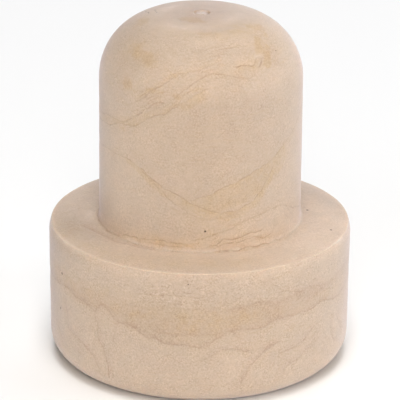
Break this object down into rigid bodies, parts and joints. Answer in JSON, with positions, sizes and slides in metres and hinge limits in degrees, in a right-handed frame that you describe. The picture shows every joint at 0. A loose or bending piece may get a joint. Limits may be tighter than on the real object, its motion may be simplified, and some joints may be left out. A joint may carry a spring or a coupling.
{
  "type": "bottle stopper",
  "caption": "One-piece moulded foam bottle stopper: a round-nosed cylindrical plug on a wider round head, standing on the flat of its head.",
  "frame": {"origin": "centre of the head's flat face, on which the stopper stands", "axes": "+Z along the stopper's axis, from the head to the nose of the plug"},
  "size_m": [0.0292, 0.0292, 0.0345],
  "materials": {
    "foam": "matte"
  },
  "bodies": {
    "root": {"stopper": "foam"}
  },
  "joints": []
}
